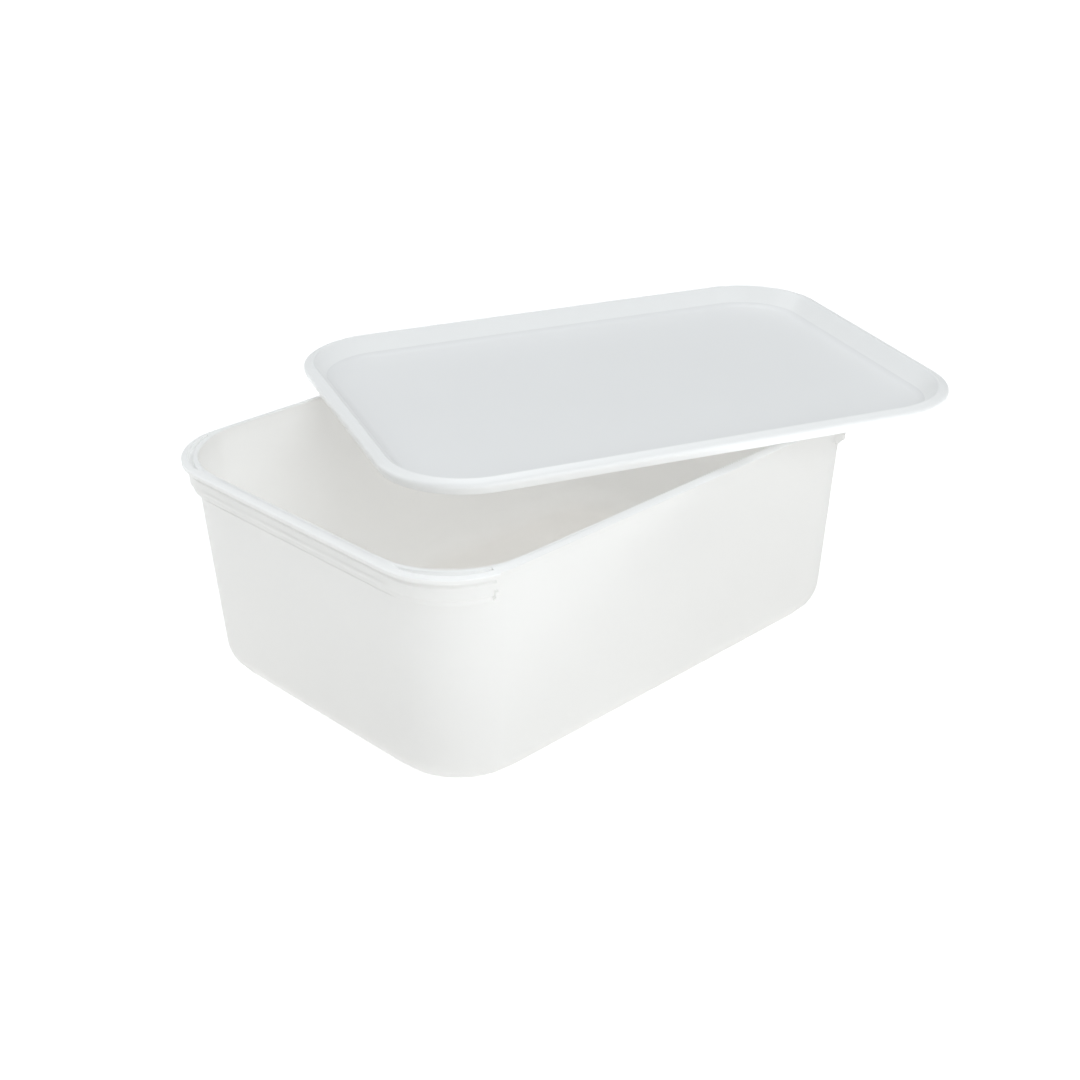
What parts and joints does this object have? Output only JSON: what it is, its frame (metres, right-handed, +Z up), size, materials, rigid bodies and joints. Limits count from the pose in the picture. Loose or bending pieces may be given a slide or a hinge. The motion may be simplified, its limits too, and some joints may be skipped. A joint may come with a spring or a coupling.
{
  "type": "plastic food tub with lid",
  "caption": "White plastic food tub with drafted walls, rounded corners and a collared rim, and a separate dished lid lying turned across its open mouth.",
  "frame": {"origin": "middle of the tub's flat base, on the surface it stands on", "axes": "+X along the tub's long sides towards the end that the lid overhangs, +Y along its short sides, +Z up"},
  "size_m": [0.3169, 0.2382, 0.1047],
  "materials": {
    "tub_plastic": "satin white moulded polypropylene",
    "lid_plastic": "satin white moulded polypropylene"
  },
  "bodies": {
    "root": {"tub": "tub_plastic", "lid": "lid_plastic"}
  },
  "joints": []
}
